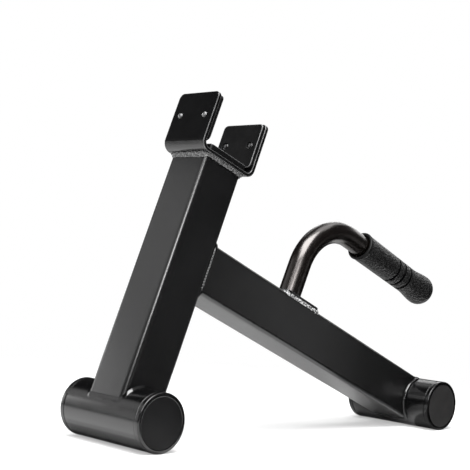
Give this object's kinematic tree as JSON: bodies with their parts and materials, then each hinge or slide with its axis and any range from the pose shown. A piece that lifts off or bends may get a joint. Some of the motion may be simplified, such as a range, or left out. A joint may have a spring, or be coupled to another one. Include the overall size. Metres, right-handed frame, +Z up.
{
  "type": "deadlift jack",
  "caption": "Small welded steel jack that rocks on a round front foot to lift a loaded barbell: leaning post, lined U cradle, sloping leg, rear foot and bent handle with rubber grip.",
  "frame": {"origin": "on the floor under the middle of the jack's outline box", "axes": "+X across the jack along its round feet, +Y to the rear where the handle points, +Z up"},
  "size_m": [0.116, 0.4796, 0.3361],
  "materials": {
    "frame_steel": "satin black powder coat",
    "weld_steel": "powder coated weld bead",
    "handle_steel": "gloss black",
    "cap_plastic": "fine matt",
    "pad_plastic": "matt",
    "grip_rubber": "pebbled",
    "rivet_steel": "bright"
  },
  "bodies": {
    "root": {"post_tube": "frame_steel", "leg_tube": "frame_steel", "front_foot_tube": "frame_steel", "rear_foot_tube": "frame_steel", "front_foot_cap_right": "cap_plastic", "front_foot_cap_left": "cap_plastic", "rear_foot_cap_right": "cap_plastic", "rear_foot_cap_left": "cap_plastic", "cradle_bracket": "frame_steel", "cradle_front_pad": "pad_plastic", "cradle_rear_pad": "pad_plastic", "cradle_base_pad": "pad_plastic", "front_pad_rivet_right": "rivet_steel", "front_pad_rivet_left": "rivet_steel", "rear_pad_rivet_right": "rivet_steel", "rear_pad_rivet_left": "rivet_steel", "base_pad_rivet_right": "rivet_steel", "base_pad_rivet_left": "rivet_steel", "handle_base_plate": "frame_steel", "handle_tube": "handle_steel", "handle_grip": "grip_rubber", "post_foot_weld": "weld_steel", "leg_foot_weld": "weld_steel", "leg_post_weld": "weld_steel", "cradle_weld": "weld_steel", "handle_plate_weld": "weld_steel", "handle_riser_weld": "weld_steel"}
  },
  "joints": []
}
